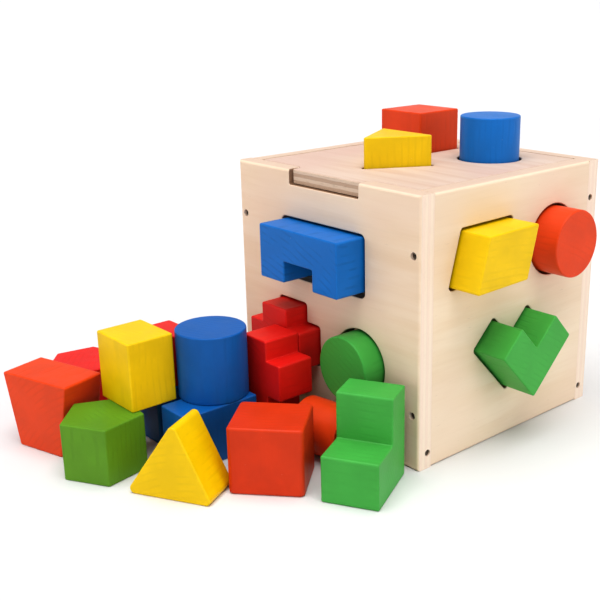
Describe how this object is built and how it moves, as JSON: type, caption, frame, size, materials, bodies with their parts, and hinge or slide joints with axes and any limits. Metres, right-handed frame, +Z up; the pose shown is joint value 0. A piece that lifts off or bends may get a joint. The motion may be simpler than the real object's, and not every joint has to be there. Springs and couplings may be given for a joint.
{
  "type": "shape sorter",
  "caption": "Cube-shaped wooden shape sorter with a lift-off lid, painted blocks standing in its sorting holes and more blocks loose in front.",
  "frame": {"origin": "centre of the box's underside, on the surface it stands on", "axes": "+X to the right along the front panel, +Y from the front panel to the back panel, +Z up"},
  "size_m": [0.2143, 0.2727, 0.1635],
  "materials": {
    "birch": "satin",
    "dark_steel": "satin",
    "paint_orange": "satin",
    "paint_red": "satin",
    "paint_yellow": "satin",
    "paint_blue": "satin",
    "paint_green": "satin",
    "paint_olive": "satin"
  },
  "bodies": {
    "box": {"box_front": "birch", "box_back": "birch", "box_left": "birch", "box_right": "birch", "box_base": "birch", "ledge_left": "birch", "ledge_right": "birch", "front_screws": "dark_steel", "back_screws": "dark_steel", "left_pins": "dark_steel", "right_pins": "dark_steel"},
    "lid": {"lid": "birch"},
    "peg_square": {"peg_square": "paint_orange"},
    "peg_triangle": {"peg_triangle": "paint_yellow"},
    "peg_round": {"peg_round": "paint_blue"},
    "peg_arch": {"peg_arch": "paint_blue"},
    "peg_cross": {"peg_cross": "paint_red"},
    "peg_disc": {"peg_disc": "paint_green"},
    "peg_slant": {"peg_slant": "paint_yellow"},
    "peg_barrel": {"peg_barrel": "paint_orange"},
    "peg_angle": {"peg_angle": "paint_green"},
    "loose_trapezoid": {"loose_trapezoid": "paint_orange"},
    "loose_hexagon": {"loose_hexagon": "paint_red"},
    "loose_pentagon": {"loose_pentagon": "paint_olive"},
    "loose_wedge": {"loose_wedge": "paint_yellow"},
    "loose_cube": {"loose_cube": "paint_orange"},
    "loose_stair": {"loose_stair": "paint_green"},
    "loose_roller": {"loose_roller": "paint_orange"},
    "loose_slab": {"loose_slab": "paint_blue"},
    "loose_tall_round": {"loose_tall_round": "paint_blue"},
    "loose_prop": {"loose_prop": "paint_blue"},
    "loose_square": {"loose_square": "paint_yellow"},
    "loose_red_block": {"loose_red_block": "paint_red"},
    "loose_half_round": {"loose_half_round": "paint_green"},
    "loose_cross": {"loose_cross": "paint_red"},
    "loose_yellow_cube": {"loose_yellow_cube": "paint_yellow"}
  },
  "joints": [
    {"name": "lid_lift", "type": "slide", "parent": "box", "child": "lid", "axis": [0, 0, 1], "range_m": [0, 0.07]},
    {"name": "peg_square_drop", "type": "slide", "parent": "lid", "child": "peg_square", "axis": [0, 0, -1], "range_m": [-0.04, 0.02]},
    {"name": "peg_triangle_drop", "type": "slide", "parent": "lid", "child": "peg_triangle", "axis": [0, 0, -1], "range_m": [-0.04, 0.02]},
    {"name": "peg_round_drop", "type": "slide", "parent": "lid", "child": "peg_round", "axis": [0, 0, -1], "range_m": [-0.04, 0.02]},
    {"name": "peg_arch_push", "type": "slide", "parent": "box", "child": "peg_arch", "axis": [0, 1, 0], "range_m": [-0.035, 0.024]},
    {"name": "peg_cross_push", "type": "slide", "parent": "box", "child": "peg_cross", "axis": [0, 1, 0], "range_m": [0, 0.02]},
    {"name": "peg_disc_push", "type": "slide", "parent": "box", "child": "peg_disc", "axis": [0, 1, 0], "range_m": [0, 0.02]},
    {"name": "peg_slant_push", "type": "slide", "parent": "box", "child": "peg_slant", "axis": [-1, 0, 0], "range_m": [-0.035, 0.02]},
    {"name": "peg_barrel_push", "type": "slide", "parent": "box", "child": "peg_barrel", "axis": [-1, 0, 0], "range_m": [-0.035, 0.02]},
    {"name": "peg_angle_push", "type": "slide", "parent": "box", "child": "peg_angle", "axis": [-1, 0, 0], "range_m": [-0.035, 0.02]},
    {"name": "trapezoid_lift", "type": "slide", "parent": "box", "child": "loose_trapezoid", "axis": [0, 0, 1], "range_m": [0, 0.07]},
    {"name": "hexagon_lift", "type": "slide", "parent": "box", "child": "loose_hexagon", "axis": [0, 0, 1], "range_m": [0, 0.07]},
    {"name": "pentagon_slide", "type": "slide", "parent": "box", "child": "loose_pentagon", "axis": [0.277, -0.9609, 0], "range_m": [0, 0.06]},
    {"name": "wedge_lift", "type": "slide", "parent": "box", "child": "loose_wedge", "axis": [0, 0, 1], "range_m": [0, 0.07]},
    {"name": "cube_lift", "type": "slide", "parent": "box", "child": "loose_cube", "axis": [0, 0, 1], "range_m": [0, 0.07]},
    {"name": "stair_lift", "type": "slide", "parent": "box", "child": "loose_stair", "axis": [0, 0, 1], "range_m": [0, 0.07]},
    {"name": "roller_roll", "type": "hinge", "parent": "box", "child": "loose_roller", "pos_m": [0.0246, -0.089, 0.0143], "axis": [0.9903, 0.1392, 0], "continuous": true},
    {"name": "slab_lift", "type": "slide", "parent": "box", "child": "loose_slab", "axis": [0, 0, 1], "range_m": [0, 0.07]},
    {"name": "tall_round_lift", "type": "slide", "parent": "loose_slab", "child": "loose_tall_round", "axis": [0, 0, 1], "range_m": [0, 0.07]},
    {"name": "prop_lift", "type": "slide", "parent": "box", "child": "loose_prop", "axis": [0, 0, 1], "range_m": [0, 0.07]},
    {"name": "square_lift", "type": "slide", "parent": "loose_prop", "child": "loose_square", "axis": [0, 0, 1], "range_m": [0, 0.07]},
    {"name": "red_block_lift", "type": "slide", "parent": "loose_prop", "child": "loose_red_block", "axis": [0, 0, 1], "range_m": [0, 0.07]},
    {"name": "half_round_lift", "type": "slide", "parent": "box", "child": "loose_half_round", "axis": [0, 0, 1], "range_m": [0, 0.024]},
    {"name": "cross_lift", "type": "slide", "parent": "loose_half_round", "child": "loose_cross", "axis": [0, 0, 1], "range_m": [0, 0.024]},
    {"name": "yellow_cube_lift", "type": "slide", "parent": "box", "child": "loose_yellow_cube", "axis": [0, 0, 1], "range_m": [0, 0.07]}
  ]
}
